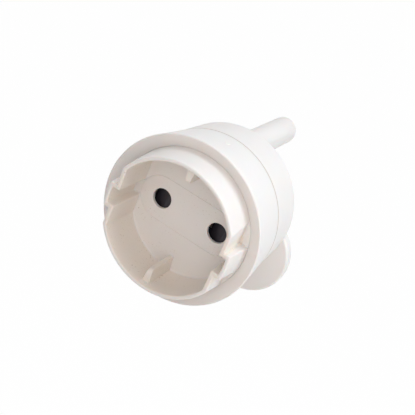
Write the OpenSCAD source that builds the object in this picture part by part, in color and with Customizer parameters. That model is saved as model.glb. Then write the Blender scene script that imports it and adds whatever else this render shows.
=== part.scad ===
// Travel plug adapter: a recessed two-pole socket on a plug with three round pins.
// Every piece is drawn with the plug face at z = 0, the socket towards +z and the
// earth pin towards +y. The module placed() then turns the socket to face -Y, with +Z up.

/* [Socket] */
// Overall depth from the plug face to the collar's rim
body_depth = 39.3; // [35.3:0.1:43.3]
// Distance between the two entry holes
hole_pitch = 19; // [17:0.1:21]
// Diameter of an entry hole
hole_d = 6; // [5.4:0.1:6.8]
// Inside diameter of the recess
recess_d = 37.4; // [33.6:0.1:41.2]
// Depth of the recess from the rim to its floor
recess_depth = 13.8; // [12.4:0.1:15.2]
// Thickness of the recess floor
floor_t = 1; // [0.7:0.1:1.8]
// Wall of the collar at its rim
collar_wall = 1.1; // [0.9:0.05:1.5]
// Widening of the collar on each side, from the rim to its foot
collar_draft = 0.9; // [0.3:0.05:1.2]
// Height of the collar above the foot of the dished flange
collar_h = 9.5; // [8.5:0.1:10.5]
// Rounding of the collar's rim
rim_round = 0.4; // [0.1:0.05:0.6]

/* [Collar keys] */
// Depth of the flats inside the wall of the recess
key_depth = 2.35; // [1.7:0.05:3]
// Width of the tab between two flats
key_tab_w = 7.7; // [6.5:0.1:9]
// Wall thickness behind the flats and the tab
key_wall = 1.3; // [1:0.05:1.5]

/* [Ribs and floor] */
// Distance of the two ribs' edges from the axis
rib_edge_r = 14.3; // [12.8:0.1:15.8]
// Thickness of a rib at its free edge
rib_edge_w = 1.3; // [0.8:0.05:1.8]
// Thickness of a rib at the wall of the recess
rib_wall_w = 2.4; // [1.8:0.1:3.2]
// Setback of the ribs' front ends from the rim
rib_setback = 2.1; // [1:0.1:4]
// Rounding of the ribs' front corners
rib_round = 1.2; // [0.6:0.1:2]
// Width of the outlined field around the entry holes
field_w = 13.6; // [12:0.1:15]
// Length of the outlined field
field_l = 33.6; // [30.2:0.1:37]
// Width of the groove that outlines the field
groove_w = 0.3; // [0.2:0.05:0.6]
// Depth of the groove
groove_depth = 0.15; // [0.1:0.05:0.4]

/* [Front housing] */
// Outside diameter at the lip
lip_d = 49.2; // [44.2:0.1:54.2]
// Outside diameter at the seam between the two housings
seam_d = 46.2; // [41.6:0.1:50.8]
// Height of the lip above the foot of the dished flange
dish = 2.1; // [1.2:0.1:3]
// Flat width on top of the lip
lip_w = 0.5; // [0.45:0.05:1.4]
// Rounding of the lip's outer edge
lip_round = 0.4; // [0.1:0.05:0.45]
// Thickness of the flange at its foot
flange_t = 2.2; // [1.6:0.1:2.8]
// Wall of the front housing
ring_wall = 1.4; // [1.1:0.05:1.8]
// Gap between the collar and the front housing around it
collar_gap = 0.1; // [0.05:0.01:0.3]
// Least width of the step that holds the collar behind the flange
retainer_w = 0.6; // [0.4:0.05:1]
// Thickness of that step
retainer_t = 2; // [1.4:0.1:2.6]
// Bevel on both edges of the seam
seam_bevel = 0.25; // [0.1:0.05:0.5]
// Diameter of the small gate mark on top of the wall
gate_d = 1.4; // [1:0.1:2]
// Height of the gate mark above the wall
gate_proud = 0.25; // [0.1:0.05:0.4]
// Sideways place of the gate mark
gate_x = 1; // [-2:0.1:2]
// Distance of the gate mark from the plug face
gate_z = 22.8; // [20:0.1:26]

/* [Rear housing] */
// Distance of the seam from the plug face
seam_z = 15.9; // [14.3:0.1:17.5]
// Outside diameter near the plug face
rear_d = 45; // [44:0.1:49.4]
// Wall of the rear housing near the plug face
rear_wall = 2.2; // [1.6:0.1:2.6]
// Rounding of the edge around the plug face
rear_round = 3; // [1.5:0.1:3.5]
// Thickness of the base
base_t = 2.6; // [2.2:0.1:3.2]
// Height of the spigot that enters the front housing
spigot_h = 2.4; // [1.4:0.1:3]
// Wall of the spigot
spigot_wall = 1.3; // [1:0.05:1.6]
// Gap around the spigot
spigot_gap = 0.1; // [0.05:0.01:0.2]
// Sideways place of the two finger lobes
lobe_x = 13.8; // [12.4:0.1:15.2]
// Drop of the finger lobes below the axis
lobe_drop = 11.5; // [10.3:0.1:12.7]
// Radius of a finger lobe
lobe_r = 13.5; // [12.1:0.1:14.9]
// Thickness of a finger lobe
lobe_t = 3.6; // [2.8:0.1:4.4]
// Rounding of a finger lobe's edges
lobe_round = 0.6; // [0.2:0.1:1.2]

/* [Plug pins] */
// Distance between the live and neutral pins
pin_pitch = 25.4; // [24:0.1:27]
// Distance of the earth pin from the line between the other two
earth_offset = 28.6; // [27:0.1:30]
// Height of the earth pin above the axis
earth_y = 17.1; // [16:0.1:18]
// Diameter of the live and neutral pins
power_pin_d = 7.05; // [6.3:0.05:7.75]
// Length of the live and neutral pins from the plug face
power_pin_l = 18.6; // [16:0.1:21]
// Diameter of the earth pin
earth_pin_d = 8.7; // [7.8:0.05:9.6]
// Length of the earth pin from the plug face
earth_pin_l = 28.6; // [25:0.1:32]
// Widening of the earth pin's foot inside the base
earth_foot = 0.3; // [0.1:0.05:0.6]
// Rounding of the pins' tips
tip_round = 1.6; // [0.6:0.1:2.4]
// Diameter of the hollow core of the earth pin
earth_core_d = 4.6; // [3.6:0.1:5.4]
// Diameter of a pin's seat in the base
seat_d = 7.8; // [7.2:0.1:8.6]
// Gap around a pin's seat in the base
seat_gap = 0.05; // [0.02:0.01:0.12]
// Diameter of a pin's shoulder inside the base
shoulder_d = 8.8; // [8.2:0.1:9.4]
// Thickness of a pin's shoulder
shoulder_t = 1.6; // [1.2:0.1:2]
// Diameter of a pin's riveted tail
tail_d = 3.2; // [2.6:0.1:3.8]
// Diameter of the rivet head on the tail
rivet_d = 5.2; // [4.4:0.1:6]
// Height of the rivet head
rivet_h = 0.9; // [0.6:0.1:1.3]

/* [Contacts] */
// Inside diameter of a contact sleeve
sleeve_bore_d = 4.9; // [4.5:0.05:5.2]
// Wall thickness of a contact sleeve
sleeve_wall = 0.6; // [0.4:0.05:0.8]
// Distance of a sleeve's end from the carrier plate
sleeve_drop = 1.4; // [0.8:0.1:2.4]
// Width of the slit along a contact sleeve
slit_w = 0.9; // [0.5:0.1:1.4]
// Thickness of the contact strip
strip_t = 0.8; // [0.6:0.05:1]
// Width of the contact strip
strip_w = 6.4; // [6.2:0.1:7]
// Gap around the riveted tail in the strip
tail_gap = 0.05; // [0.02:0.01:0.12]

/* [Shutter] */
// Width of the sliding shutter
shutter_w = 8.4; // [7.6:0.1:9.2]
// Overlap of the shutter's leading end past the hole that it closes
lead_lap = 0.5; // [0.3:0.1:1]
// Overlap of the shutter's trailing end past the other hole
trail_lap = 0.9; // [0.5:0.1:1.2]
// Travel of the shutter beyond the width of a hole
travel_spare = 0.2; // [0.1:0.05:0.4]
// Thickness left at the thin edge of each ramp
ramp_edge_t = 3; // [2.4:0.1:4]
// Length of each ramp
ramp_l = 4.6; // [3.6:0.1:5.4]
// Gap on each face of the shutter
shutter_gap = 0.1; // [0.06:0.01:0.2]
// Thickness of the rails beside the shutter
rail_t = 1.2; // [0.9:0.1:1.5]
// Thickness of the lug that the spring pushes
lug_t = 1.4; // [1:0.1:1.8]
// Thickness of the carrier plate behind the shutter
carrier_t = 1.8; // [1.4:0.1:2.2]
// Depth of the shutter's channel between floor and carrier plate
channel_h = 5.5; // [5:0.1:6]

/* [Shutter spring] */
// Mean radius of the coil
coil_r = 1.45; // [1.1:0.05:1.7]
// Wire diameter
wire_d = 0.35; // [0.25:0.05:0.45]
// Number of turns
coil_turns = 9; // [6:1:12]
// Gap between the coil and the rail beside it
spring_gap = 0.15; // [0.1:0.05:0.3]

/* [Housing screws] */
// Direction of the screws from the axis, above the line of the entry holes
screw_angle = 50; // [46:1:56]
// Gap between a screw post and the wall beside it
post_gap = 1; // [0.6:0.1:1.3]
// Shank diameter
screw_d = 2.9; // [2.5:0.1:3.2]
// Head diameter
screw_head_d = 5.4; // [4.8:0.1:6]
// Head thickness
screw_head_t = 1.2; // [0.9:0.1:1.3]
// Depth of the counterbore in the plug face
counterbore = 1.4; // [1.3:0.05:1.7]
// Length of the shank under the head
screw_l = 14; // [10:0.5:16]
// Gap around the shank in the post and in the base
screw_gap = 0.06; // [0.03:0.01:0.12]
// Room in the post beyond the screw's end
screw_room = 0.6; // [0.3:0.1:1.2]
// Diameter of the screw posts
post_d = 5.4; // [4.8:0.1:5.8]
// Height of the bosses on the base that meet the posts
boss_h = 3.4; // [2.6:0.1:4.4]

/* [Hidden] */

$fn = 96;
eps = 0.01;
shell_colour = [0.95, 0.94, 0.93];
inner_colour = [0.9, 0.89, 0.87];
metal_colour = [0.78, 0.77, 0.74];
contact_colour = [0.83, 0.67, 0.36];
shutter_colour = [0.07, 0.07, 0.08];
steel_colour = [0.6, 0.61, 0.63];

hole_x = hole_pitch / 2;
floor_z = body_depth - recess_depth;
floor_back_z = floor_z - floor_t;
flange_z = body_depth - collar_h;
lip_z = flange_z + dish;
flange_back_z = flange_z - flange_t;
carrier_z = floor_back_z - channel_h;
carrier_back_z = carrier_z - carrier_t;
spigot_z = seam_z + spigot_h;

collar_rim_r = recess_d / 2 + collar_wall;
collar_root_r = collar_rim_r + collar_draft;
collar_hole_r = collar_root_r + collar_gap;
ring_top_r = max(outer_r(flange_back_z) - ring_wall, collar_hole_r + retainer_w);
retainer_back_z = flange_back_z - retainer_t;
retainer_r = ring_inner_r(retainer_back_z) - collar_gap;
recess_key_x = recess_d / 2 - key_depth;
key_flat_x = recess_key_x + key_wall;
recess_groove_w = key_tab_w - 2 * key_wall;
rib_root = 0.3;

spigot_r = seam_d / 2 - ring_wall - spigot_gap;
cavity_top_r = spigot_r - spigot_wall;
cavity_base_r = rear_d / 2 - rear_wall;

pin_x = pin_pitch / 2;
power_y = earth_y - earth_offset;
strip_z = base_t + shoulder_t;
sleeve_z = strip_z + strip_t;
sleeve_l = carrier_back_z - sleeve_drop - sleeve_z;
rivet_room = 0.6;
pocket_h = shoulder_t + strip_t + rivet_h + rivet_room;
sleeve_r = sleeve_bore_d / 2 + sleeve_wall;
guide_wall = 1.2;
guide_gap = 0.15;
guide_r = sleeve_r + guide_gap;
guide_z = sleeve_z + sleeve_l / 2;

shutter_travel = hole_d + travel_spare;
shutter_lead = hole_x + hole_d / 2 + lead_lap;
shutter_trail = hole_x + hole_d / 2 + trail_lap;
rail_y = shutter_w / 2 + shutter_gap;
window_w = shutter_travel;
window_end = hole_x - hole_d / 2 - shutter_gap;
coil_out_r = coil_r + wire_d / 2;
spring_y = rail_y + rail_t + spring_gap + coil_out_r;
spring_z = (carrier_z + floor_back_z) / 2;
spring_from = -shutter_lead + lug_t;
spring_post_x = 1.6;
spring_post_t = 1.4;
lug_y = spring_y + coil_out_r;
lug_inset = 1.1;
rail_past = 0.2;
rail_end = shutter_trail + rail_past;
lug_room = 0.6;
short_rail_from = spring_from + shutter_travel + lug_room;

screw_r = min(cavity_base_r, cavity_top_r) - post_gap - post_d / 2;
screw_y = max(screw_r * sin(screw_angle), lug_y + spring_gap + post_d / 2);
screw_x = sqrt(screw_r * screw_r - screw_y * screw_y);
boss_z = base_t + boss_h;
screw_end = counterbore + screw_l;

// Outside radius of the front housing's wall, and inside radius, at a distance from the plug face
function outer_r(z) = seam_d / 2 + (lip_d - seam_d) / 2 * (z - seam_z) / (lip_z - seam_z);
function ring_inner_r(z) =
    let (seam_r = seam_d / 2 - ring_wall)
    seam_r + (ring_top_r - seam_r) * (z - seam_z) / (flange_back_z - seam_z);

// Turns a piece from its drawing frame into the part's frame
module placed() {
    rotate([90, 0, 0])
        children();
}

// Draws children on both sides of the x = 0 plane
module both_sides() {
    children();
    mirror([1, 0, 0])
        children();
}

// Cuts a convex corner at the origin, between -x and -y, down to an arc
module corner_cut(r) {
    translate([-r, -r])
        difference() {
            square(r + eps);
            circle(r);
        }
}

// A long field with round ends, centred on the axis
module stadium(length, width) {
    square([length - width, width], center = true);
    for (side = [-1, 1])
        translate([side * (length - width) / 2, 0])
            circle(d = width);
}

// Half section of a pin with a rounded tip, its foot at z = 0 and its tip at -length
module pin_profile(d, length) {
    difference() {
        translate([0, -length])
            square([d / 2, length]);
        translate([d / 2, -length])
            mirror([0, 1])
                corner_cut(tip_round);
    }
}

// Half section of the front housing: dished flange, rounded lip and tapered wall
module front_profile() {
    difference() {
        polygon([
            [collar_hole_r, flange_back_z],
            [collar_hole_r, flange_z],
            [lip_d / 2 - lip_w, lip_z],
            [lip_d / 2, lip_z],
            [seam_d / 2, seam_z + seam_bevel],
            [seam_d / 2 - seam_bevel, seam_z],
            [ring_inner_r(seam_z), seam_z],
            [ring_top_r, flange_back_z]
        ]);
        translate([lip_d / 2, lip_z])
            corner_cut(lip_round);
    }
}

module front_housing() {
    gate_from = ring_inner_r(gate_z) + ring_wall / 2;
    color(shell_colour)
        placed() {
            rotate_extrude()
                front_profile();
            translate([gate_x, gate_from, gate_z])
                rotate([-90, 0, 0])
                    cylinder(d = gate_d, h = outer_r(gate_z) + gate_proud - gate_from);
        }
}

// Half section of the collar's outside, with the step that holds it in the front housing
module collar_profile() {
    difference() {
        polygon([
            [0, floor_back_z],
            [collar_root_r, floor_back_z],
            [collar_root_r, retainer_back_z],
            [retainer_r, retainer_back_z],
            [retainer_r, flange_back_z],
            [collar_root_r, flange_back_z],
            [collar_root_r, flange_z],
            [collar_rim_r, body_depth],
            [0, body_depth]
        ]);
        translate([collar_rim_r, body_depth])
            corner_cut(rim_round);
    }
}

// Section of the recess: a circle with two flats and a groove between them on each side
module recess_section() {
    difference() {
        circle(d = recess_d);
        both_sides()
            for (side = [-1, 1])
                translate([recess_key_x, side > 0 ? recess_groove_w / 2 : -recess_groove_w / 2 - recess_d])
                    square(recess_d);
    }
}

// The two notches beside one tab, cut from the collar's outside down to the flange's foot
module key_notches() {
    reach = collar_root_r;
    for (side = [-1, 1])
        translate([key_flat_x, side > 0 ? key_tab_w / 2 : -key_tab_w / 2 - reach, flange_z])
            cube([reach, reach, collar_h + eps]);
}

// One rib of the recess, towards +y: thicker at the wall, with a rounded front corner
module recess_rib() {
    rib_l = recess_depth - rib_setback + eps;
    wall_r = recess_d / 2 + rib_root;
    intersection() {
        translate([0, 0, floor_z - eps])
            linear_extrude(rib_l)
                polygon([
                    [-rib_edge_w / 2, rib_edge_r],
                    [rib_edge_w / 2, rib_edge_r],
                    [rib_wall_w / 2, wall_r],
                    [-rib_wall_w / 2, wall_r]
                ]);
        translate([-rib_wall_w, rib_edge_r, floor_z - eps])
            rotate([90, 0, 90])
                linear_extrude(2 * rib_wall_w)
                    difference() {
                        square([wall_r - rib_edge_r, rib_l]);
                        translate([0, rib_l])
                            mirror([1, 0])
                                corner_cut(rib_round);
                    }
    }
}

// The groove in the recess floor around the entry holes
module field_groove() {
    translate([0, 0, floor_z - groove_depth])
        linear_extrude(groove_depth + eps)
            difference() {
                stadium(field_l, field_w);
                stadium(field_l - 2 * groove_w, field_w - 2 * groove_w);
            }
}

// Rails that guide the shutter, and the post that holds the spring's fixed end
module shutter_guides() {
    translate([-shutter_lead, -rail_y - rail_t, carrier_z])
        cube([shutter_lead + rail_end, rail_t, channel_h + eps]);
    translate([short_rail_from, rail_y, carrier_z])
        cube([rail_end - short_rail_from, rail_t, channel_h + eps]);
    translate([spring_post_x, rail_y, carrier_z])
        cube([spring_post_t, lug_y - rail_y, channel_h + eps]);
}

module socket_insert() {
    color(shell_colour)
        placed()
            difference() {
                union() {
                    difference() {
                        rotate_extrude()
                            collar_profile();
                        translate([0, 0, floor_z])
                            linear_extrude(recess_depth + eps)
                                recess_section();
                        both_sides()
                            key_notches();
                        field_groove();
                    }
                    recess_rib();
                    mirror([0, 1, 0])
                        recess_rib();
                    shutter_guides();
                    both_sides()
                        translate([screw_x, screw_y, boss_z])
                            cylinder(d = post_d, h = floor_back_z - boss_z + eps);
                }
                both_sides()
                    translate([hole_x, 0, floor_back_z - eps])
                        cylinder(d = hole_d, h = floor_t + 2 * eps);
                both_sides()
                    translate([screw_x, screw_y, boss_z - eps])
                        cylinder(d = screw_d + 2 * screw_gap, h = screw_end + screw_room - boss_z + eps);
            }
}

// Half section of the rear shell with its spigot
module rear_profile() {
    difference() {
        polygon([
            [0, 0],
            [rear_d / 2, 0],
            [seam_d / 2, seam_z - seam_bevel],
            [seam_d / 2 - seam_bevel, seam_z],
            [spigot_r, seam_z],
            [spigot_r, spigot_z],
            [0, spigot_z]
        ]);
        translate([rear_d / 2, 0])
            mirror([0, 1])
                corner_cut(rear_round);
    }
}

// Half section of the space inside the rear shell
module cavity_profile() {
    polygon([
        [0, base_t],
        [cavity_base_r, base_t],
        [cavity_top_r, spigot_z],
        [cavity_top_r, spigot_z + eps],
        [0, spigot_z + eps]
    ]);
}

// Half section of one finger lobe, rounded on both edges
module lobe_profile() {
    difference() {
        square([lobe_r, lobe_t]);
        translate([lobe_r, lobe_t])
            corner_cut(lobe_round);
        translate([lobe_r, 0])
            mirror([0, 1])
                corner_cut(lobe_round);
    }
}

module rear_housing() {
    color(shell_colour)
        placed()
            difference() {
                union() {
                    difference() {
                        union() {
                            rotate_extrude()
                                rear_profile();
                            both_sides()
                                translate([lobe_x, -lobe_drop, 0])
                                    rotate_extrude()
                                        lobe_profile();
                        }
                        rotate_extrude()
                            cavity_profile();
                        both_sides()
                            translate([pin_x, power_y, base_t])
                                cylinder(d = shoulder_d + 2 * guide_gap, h = pocket_h);
                    }
                    translate([0, earth_y, 0])
                        rotate_extrude() {
                            pin_profile(earth_pin_d, earth_pin_l);
                            square([earth_pin_d / 2 + earth_foot, base_t]);
                        }
                    both_sides()
                        translate([screw_x, screw_y, base_t - eps])
                            cylinder(d = post_d, h = boss_h + eps);
                    both_sides()
                        translate([hole_x, 0, base_t - eps])
                            cylinder(r = sleeve_r, h = shoulder_t + eps);
                }
                translate([0, earth_y, tip_round + earth_core_d / 2 - earth_pin_l])
                    cylinder(d = earth_core_d, h = earth_pin_l + base_t);
                both_sides()
                    translate([pin_x, power_y, -eps])
                        cylinder(d = seat_d + 2 * seat_gap, h = base_t + 2 * eps);
                both_sides()
                    translate([screw_x, screw_y, -eps]) {
                        cylinder(d = screw_head_d + 2 * screw_gap, h = counterbore + eps);
                        cylinder(d = screw_d + 2 * screw_gap, h = boss_z + 2 * eps);
                    }
            }
}

// One power pin: round pin, wider seat and shoulder, tail and rivet head above the strip
module power_pin() {
    color(metal_colour)
        placed()
            translate([pin_x, power_y, 0])
                rotate_extrude() {
                    pin_profile(power_pin_d, power_pin_l);
                    square([seat_d / 2, base_t]);
                    translate([0, base_t])
                        square([shoulder_d / 2, shoulder_t]);
                    square([tail_d / 2, sleeve_z]);
                    translate([0, sleeve_z])
                        square([rivet_d / 2, rivet_h]);
                }
}

module live_pin() {
    power_pin();
}

module neutral_pin() {
    mirror([1, 0, 0])
        power_pin();
}

// Flat strip from the sleeve at the origin to the riveted tail, as a plane outline
module strip_outline() {
    run = norm([pin_x - hole_x, power_y]);
    lean = atan2(power_y, pin_x - hole_x);
    rotate(lean) {
        circle(d = strip_w);
        translate([0, -strip_w / 2])
            square([run, strip_w]);
        translate([run, 0])
            circle(d = strip_w);
    }
}

// One contact: a slit sleeve for a plug's pin, on a strip that the power pin is riveted to
module contact() {
    color(contact_colour)
        placed()
            translate([hole_x, 0, 0]) {
                translate([0, 0, strip_z])
                    linear_extrude(strip_t)
                        difference() {
                            strip_outline();
                            translate([pin_x - hole_x, power_y])
                                circle(d = tail_d + 2 * tail_gap);
                        }
                translate([0, 0, sleeve_z - eps])
                    linear_extrude(sleeve_l + eps)
                        difference() {
                            circle(r = sleeve_r);
                            circle(d = sleeve_bore_d);
                            translate([-slit_w / 2, 0])
                                square([slit_w, 2 * sleeve_r]);
                        }
            }
}

module live_contact() {
    contact();
}

module neutral_contact() {
    mirror([1, 0, 0])
        contact();
}

// Plate behind the shutter, with guides that hold the sleeves' ends upright
module contact_carrier() {
    color(inner_colour)
        placed()
            difference() {
                union() {
                    translate([0, 0, carrier_back_z])
                        cylinder(r = cavity_top_r - guide_gap, h = carrier_t);
                    both_sides()
                        translate([hole_x, 0, guide_z])
                            cylinder(r = guide_r + guide_wall, h = carrier_back_z - guide_z + eps);
                }
                both_sides()
                    translate([hole_x, 0, guide_z - eps])
                        cylinder(r = guide_r, h = sleeve_l / 2 + eps);
                both_sides()
                    translate([hole_x, 0, sleeve_z])
                        cylinder(d = hole_d + 2 * guide_gap, h = carrier_z);
                both_sides()
                    translate([screw_x, screw_y, 0])
                        cylinder(d = post_d + 2 * guide_gap, h = carrier_z + eps);
            }
}

// Side view of the shutter: two ramps, a window and blocking ends, in x and z
module shutter_section() {
    low = carrier_z + shutter_gap;
    high = floor_back_z - shutter_gap;
    polygon([
        [-shutter_lead, low],
        [window_end - window_w, low],
        [window_end - window_w, high],
        [ramp_l - shutter_lead, high],
        [-shutter_lead, low + ramp_edge_t]
    ]);
    polygon([
        [window_end, low],
        [shutter_trail, low],
        [shutter_trail, high],
        [window_end + ramp_l, high],
        [window_end, low + ramp_edge_t]
    ]);
}

module shutter() {
    low = carrier_z + shutter_gap;
    side_t = (shutter_w - hole_d) / 2;
    high = floor_back_z - shutter_gap;
    color(shutter_colour)
        placed() {
            translate([0, shutter_w / 2, 0])
                rotate([90, 0, 0])
                    linear_extrude(shutter_w)
                        shutter_section();
            for (side = [-1, 1])
                translate([window_end - window_w - eps, side * (shutter_w - side_t) / 2 - side_t / 2, low])
                    cube([window_w + 2 * eps, side_t, high - low]);
            translate([-shutter_lead, shutter_w / 2 - side_t, low])
                cube([lug_t, lug_y - shutter_w / 2 + side_t, high - low - lug_inset]);
        }
}

// Points along the coil, and the sweep of a round wire around them
coil_steps = 12;
wire_sides = 6;
function coil_run() = spring_post_x - spring_from - wire_d - 2 * eps;
function coil_at(i) =
    let (turn = 360 * i / coil_steps)
    [spring_from + wire_d / 2 + eps + coil_run() * i / (coil_turns * coil_steps),
        spring_y + coil_r * cos(turn), spring_z + coil_r * sin(turn)];
function wire_ring(i) =
    let (turn = 360 * i / coil_steps, centre = coil_at(i))
    [for (k = [0 : wire_sides - 1])
        let (a = 360 * k / wire_sides, out = wire_d / 2 * cos(a))
        centre + [wire_d / 2 * sin(a), out * cos(turn), out * sin(turn)]];

module shutter_spring() {
    rings = coil_turns * coil_steps;
    points = [for (i = [0 : rings]) each wire_ring(i)];
    sides = [for (i = [0 : rings - 1], k = [0 : wire_sides - 1])
        let (j = (k + 1) % wire_sides)
        [i * wire_sides + k, i * wire_sides + j, (i + 1) * wire_sides + j, (i + 1) * wire_sides + k]];
    first = [[for (k = [wire_sides - 1 : -1 : 0]) k]];
    last = [[for (k = [0 : wire_sides - 1]) rings * wire_sides + k]];
    color(steel_colour)
        placed()
            polyhedron(points, concat(sides, first, last));
}

// One screw with its head in the plug face's counterbore and a cross recess
module housing_screw() {
    cross_l = 3;
    cross_w = 0.7;
    cross_depth = 0.8;
    head_z = counterbore - screw_head_t;
    difference() {
        union() {
            translate([0, 0, head_z])
                cylinder(d = screw_head_d, h = screw_head_t);
            translate([0, 0, counterbore - eps])
                cylinder(d = screw_d, h = screw_l);
        }
        for (turn = [0, 90])
            rotate(turn)
                translate([-cross_l / 2, -cross_w / 2, head_z - eps])
                    cube([cross_l, cross_w, cross_depth]);
    }
}

module housing_screws() {
    color(steel_colour)
        placed()
            both_sides()
                translate([screw_x, screw_y, 0])
                    housing_screw();
}

front_housing();
socket_insert();
rear_housing();
live_pin();
neutral_pin();
live_contact();
neutral_contact();
contact_carrier();
shutter();
shutter_spring();
housing_screws();
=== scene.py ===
"""Looks of a round white travel adapter: moulded shells, plug pins, shutter, camera and light.

Sizes in the classes are millimetres, and a mesh is scaled to metres when it is made. A depth is
measured from the plug face towards the socket, so that a depth of d lies at y = -d.
"""

import logging
import math
from collections.abc import Sequence
from dataclasses import dataclass
from enum import Enum

import bmesh
import bpy
import numpy as np
from mathutils import Matrix, Vector


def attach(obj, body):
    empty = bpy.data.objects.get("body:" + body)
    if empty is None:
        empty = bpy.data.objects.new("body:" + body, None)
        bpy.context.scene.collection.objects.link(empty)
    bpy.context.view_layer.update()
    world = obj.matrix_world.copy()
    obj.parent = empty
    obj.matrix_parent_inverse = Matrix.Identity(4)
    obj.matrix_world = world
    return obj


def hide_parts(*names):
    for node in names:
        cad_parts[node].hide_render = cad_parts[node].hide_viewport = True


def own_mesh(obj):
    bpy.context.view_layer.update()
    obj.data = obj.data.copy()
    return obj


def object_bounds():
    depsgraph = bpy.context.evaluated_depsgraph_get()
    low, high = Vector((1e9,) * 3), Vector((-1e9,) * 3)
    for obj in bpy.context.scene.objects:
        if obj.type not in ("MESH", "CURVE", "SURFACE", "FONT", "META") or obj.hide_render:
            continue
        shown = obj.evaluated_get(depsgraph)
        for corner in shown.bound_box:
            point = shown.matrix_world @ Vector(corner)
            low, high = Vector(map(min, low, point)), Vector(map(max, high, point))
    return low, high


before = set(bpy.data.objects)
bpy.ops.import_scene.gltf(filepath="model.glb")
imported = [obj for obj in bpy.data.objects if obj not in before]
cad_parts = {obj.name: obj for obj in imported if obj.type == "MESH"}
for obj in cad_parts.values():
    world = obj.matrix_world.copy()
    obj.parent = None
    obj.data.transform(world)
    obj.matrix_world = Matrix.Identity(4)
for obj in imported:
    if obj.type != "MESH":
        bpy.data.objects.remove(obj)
CAD_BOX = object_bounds()

LOG = logging.getLogger("travel_adapter")
MM = 0.001
BODY = "housing"
WHITE = "#ffffff"

# Points in each rounded corner, and the longest step along a straight run of an outline
ARC_STEPS = 6
RUN_STEP = 1.6
# Angles of a quarter turn, for rounded edges
QUARTER = np.linspace(0, math.pi / 2, ARC_STEPS + 1)
# A straight run gets a point this close to each end, so that its shading stays flat
SUPPORT = 0.06
# Steps around a wide turned surface, a pin and a small turned surface
WIDE_TURN = 240
PIN_TURN = 144
SMALL_TURN = 72
# Edges that bend more than this stay crisp
CRISP_ANGLE = math.radians(38)
# Overlap of surfaces that are merged, so that no two faces lie in one plane: of a rib with the
# floor, of a pin or boss with its base, and of a post or rail with its plate
SINK = 0.05
FOOT_SINK = 0.2
ROOT_SINK = 0.5
# How far a cutter reaches past the face that it opens
CLEAR = 1.0
# Lengths that count as none: between points of an outline, and in a mesh in metres
SAME_POINT = 1e-6
MESH_POINT = 1e-8
NO_LENGTH = 1e-9
# Octaves of a plain, a mottled and a cloudy noise
PLAIN = 2.0
MOTTLED = 3.0
CLOUDY = 4.0


class Slot(Enum):
    """Names of the material slots of the record."""

    SHELL = "white_shell"
    PLATED = "plated_brass"
    STEEL = "steel"


class Merge(Enum):
    """Ways in which a second surface changes the first."""

    ADD = "UNION"
    CUT = "DIFFERENCE"


def linear(hex_colour: str) -> tuple[float, float, float, float]:
    """Turns an sRGB hex colour into linear light.

    Args:
        hex_colour: Six hex digits after a hash sign.

    Returns:
        Red, green and blue in linear light, and an alpha of 1.
    """
    srgb = np.array([int(hex_colour[i:i + 2], 16) for i in (1, 3, 5)]) / 255
    light = np.where(srgb <= 0.04045, srgb / 12.92, ((srgb + 0.055) / 1.055) ** 2.4)
    return (*light.tolist(), 1.0)


def add_node(
    tree: bpy.types.NodeTree,
    kind: str,
    settings: dict[str | int, object] | None = None,
    links: dict[str | int, bpy.types.NodeSocket] | None = None,
) -> bpy.types.Node:
    """Adds a shader node with its settings and its incoming links.

    Args:
        tree: The node tree that takes the node.
        kind: Blender's name of the node type.
        settings: Values, each of an attribute of the node or else of an input by name or number.
        links: Sockets that feed the node, by the name or number of the input.

    Returns:
        The new node.
    """
    node = tree.nodes.new(kind)
    for key, value in (settings or {}).items():
        if isinstance(key, str) and hasattr(node, key):
            setattr(node, key, value)
        else:
            node.inputs[key].default_value = value
    for key, socket in (links or {}).items():
        tree.links.new(socket, node.inputs[key])
    return node


def new_material(name: str) -> tuple[bpy.types.Material, bpy.types.NodeTree, bpy.types.Node]:
    """Makes a material that is ready for its nodes.

    Args:
        name: Name of the material.

    Returns:
        The material, its node tree and its shader.
    """
    made = bpy.data.materials.new(name)
    made.use_nodes = True
    return made, made.node_tree, made.node_tree.nodes["Principled BSDF"]


def add_surface(
    tree: bpy.types.NodeTree,
    shine: bpy.types.NodeSocket,
    roughness: tuple[float, float],
    relief: bpy.types.NodeSocket,
    height_mm: float,
) -> None:
    """Lets one pattern vary the gloss of a material, and one stand out of it as a fine relief.

    Args:
        tree: The node tree of the material.
        shine: The pattern of the gloss.
        roughness: Roughness where that pattern is 0 and where it is 1.
        relief: The pattern of the relief.
        height_mm: Height of the relief.
    """
    shader = tree.nodes["Principled BSDF"]
    low, high = roughness
    gloss = add_node(tree, "ShaderNodeMapRange", {"To Min": low, "To Max": high}, {"Value": shine})
    tree.links.new(gloss.outputs["Result"], shader.inputs["Roughness"])
    bump = add_node(tree, "ShaderNodeBump", {"Strength": 1.0, "Distance": height_mm * MM},
                    {"Height": relief})
    tree.links.new(bump.outputs["Normal"], shader.inputs["Normal"])


def seen_rays(tree: bpy.types.NodeTree) -> bpy.types.NodeSocket:
    """Marks the rays that show a thing to the eye: straight, mirrored or through glass.

    Args:
        tree: The node tree of a material or of the world.

    Returns:
        1 for such a ray, else 0.
    """
    path = add_node(tree, "ShaderNodeLightPath").outputs
    seen = path["Is Camera Ray"]
    for kind in ("Is Glossy Ray", "Is Transmission Ray"):
        seen = add_node(tree, "ShaderNodeMath", {"operation": "MAXIMUM"},
                        {0: seen, 1: path[kind]}).outputs[0]
    return seen


@dataclass
class Patch:
    """A surface as points in millimetres and the quads between them."""

    points: np.ndarray
    quads: np.ndarray


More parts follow.
